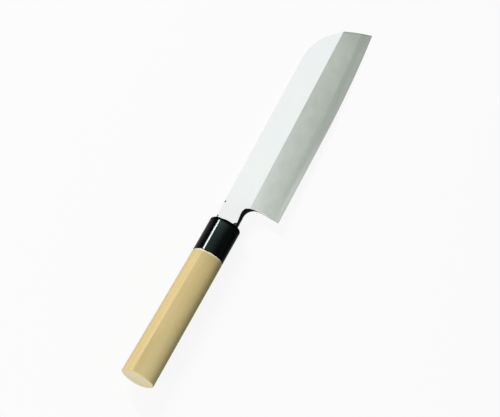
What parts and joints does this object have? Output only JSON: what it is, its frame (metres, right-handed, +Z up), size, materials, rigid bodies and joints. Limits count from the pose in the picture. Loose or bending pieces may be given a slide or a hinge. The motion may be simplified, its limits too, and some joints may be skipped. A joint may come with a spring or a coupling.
{
  "type": "kamagata usuba vegetable knife",
  "caption": "Single-bevel vegetable knife with a sickle-shaped front, straight edge, ridged pale wooden grip and black ferrule, lying on its back.",
  "frame": {"origin": "on the table the knife lies on, under the middle of its box", "axes": "+X along the knife towards the tip, +Y towards the spine, +Z up, out of the bevelled face"},
  "size_m": [0.3272, 0.0488, 0.0248],
  "materials": {
    "soft_iron": "polished flat, fine satin bevel",
    "hard_steel": "satin, honed edge",
    "magnolia_wood": "bare, fine sanded",
    "black_horn": "polished, glossy"
  },
  "bodies": {
    "root": {"blade_body": "soft_iron", "edge_steel": "hard_steel", "handle_grip": "magnolia_wood", "ferrule": "black_horn"}
  },
  "joints": []
}
